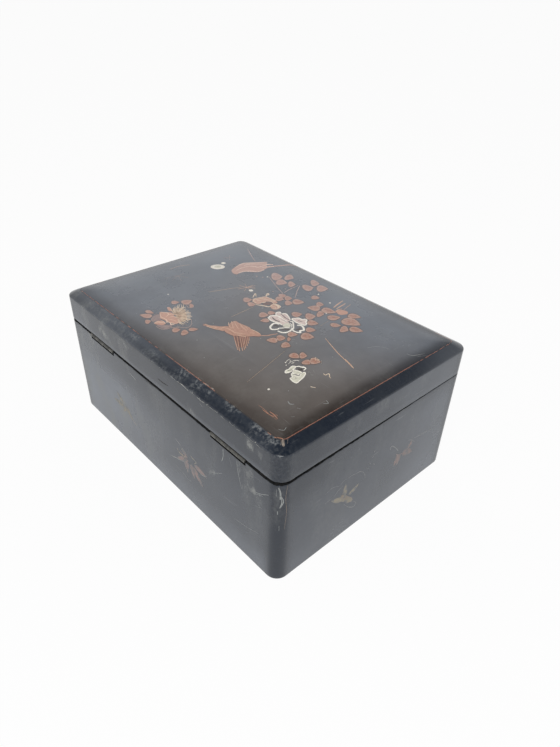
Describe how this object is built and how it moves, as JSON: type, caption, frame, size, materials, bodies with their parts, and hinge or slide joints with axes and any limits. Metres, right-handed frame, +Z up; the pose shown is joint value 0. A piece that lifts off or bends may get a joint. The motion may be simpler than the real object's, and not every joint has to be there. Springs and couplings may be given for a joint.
{
  "type": "lacquer box",
  "caption": "Low rectangular lacquered wooden box with rounded corners, a bevelled and gently crowned lid on two brass butt hinges, and a small lock.",
  "frame": {"origin": "middle of the footprint, on the surface that the box stands on", "axes": "+X along the length, +Y towards the hinges at the back, +Z up; the front with the keyhole faces -Y"},
  "size_m": [0.285, 0.2052, 0.1271],
  "materials": {
    "black_lacquer": "aged black lacquer on wood, semi-gloss",
    "aged_brass": "tarnished, satin",
    "iron_pin": "dull, drawn wire"
  },
  "bodies": {
    "box": {"floor_board": "black_lacquer", "front_wall": "black_lacquer", "back_wall": "black_lacquer", "left_wall": "black_lacquer", "right_wall": "black_lacquer", "lip_front": "black_lacquer", "lip_right": "black_lacquer", "lip_back": "black_lacquer", "lip_left": "black_lacquer", "hinge_1_box_leaf": "aged_brass", "hinge_1_pin": "iron_pin", "hinge_1_box_screw_a": "aged_brass", "hinge_1_box_screw_b": "aged_brass", "hinge_1_box_screw_c": "aged_brass", "hinge_2_box_leaf": "aged_brass", "hinge_2_pin": "iron_pin", "hinge_2_box_screw_a": "aged_brass", "hinge_2_box_screw_b": "aged_brass", "hinge_2_box_screw_c": "aged_brass", "lock_face_plate": "aged_brass", "lock_case": "aged_brass", "lock_screw_a": "aged_brass", "lock_screw_b": "aged_brass", "keyhole_plate": "aged_brass", "keyhole_plate_pin_a": "aged_brass", "keyhole_plate_pin_b": "aged_brass"},
    "lid": {"lid_front_rail": "black_lacquer", "lid_back_rail": "black_lacquer", "lid_left_rail": "black_lacquer", "lid_right_rail": "black_lacquer", "lid_panel": "black_lacquer", "hinge_1_lid_leaf": "aged_brass", "hinge_1_lid_screw_a": "aged_brass", "hinge_1_lid_screw_b": "aged_brass", "hinge_1_lid_screw_c": "aged_brass", "hinge_2_lid_leaf": "aged_brass", "hinge_2_lid_screw_a": "aged_brass", "hinge_2_lid_screw_b": "aged_brass", "hinge_2_lid_screw_c": "aged_brass", "staple_plate": "aged_brass", "staple_loop": "aged_brass", "staple_screw_a": "aged_brass", "staple_screw_b": "aged_brass"},
    "bolt": {"lock_bolt": "aged_brass"}
  },
  "joints": [
    {"name": "lid_hinge", "type": "hinge", "parent": "box", "child": "lid", "pos_m": [0, 0.1007, 0.0958], "axis": [-1, 0, 0], "range_deg": [0, 120]},
    {"name": "bolt_slide", "type": "slide", "parent": "box", "child": "bolt", "axis": [1, 0, 0], "range_m": [0, 0.0035]}
  ]
}
